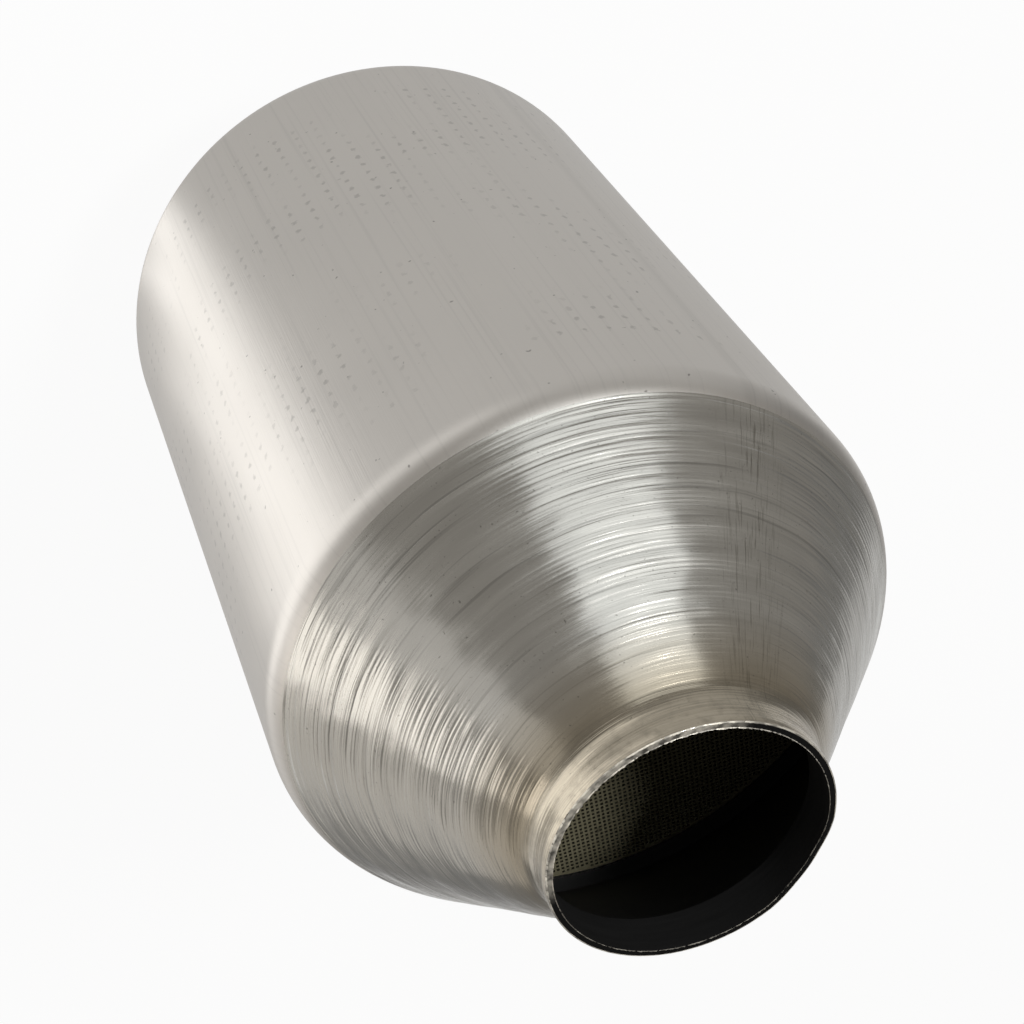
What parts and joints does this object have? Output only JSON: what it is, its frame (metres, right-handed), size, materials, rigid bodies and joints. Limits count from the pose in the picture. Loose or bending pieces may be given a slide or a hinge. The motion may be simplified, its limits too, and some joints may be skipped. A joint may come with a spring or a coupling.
{
  "type": "catalytic converter",
  "caption": "Round catalytic converter: a stainless tube spun down to a cone and a short neck at both ends, holding a matted ceramic honeycomb brick.",
  "frame": {"origin": "on the axis at the rear rim, which the part stands on", "axes": "+Z along the tube's axis towards the front neck; the part is the same at both ends"},
  "size_m": [0.127, 0.127, 0.26],
  "materials": {
    "stainless_steel": "satin cylinder, roller-marked cones, black inside",
    "ceramic": "matt washcoated cordierite",
    "fibre_mat": "pressed intumescent fibre",
    "wire_mesh": "knitted wire rope"
  },
  "bodies": {
    "root": {"shell": "stainless_steel", "honeycomb": "ceramic", "support_mat": "fibre_mat", "front_mesh_seal": "wire_mesh", "rear_mesh_seal": "wire_mesh"}
  },
  "joints": []
}
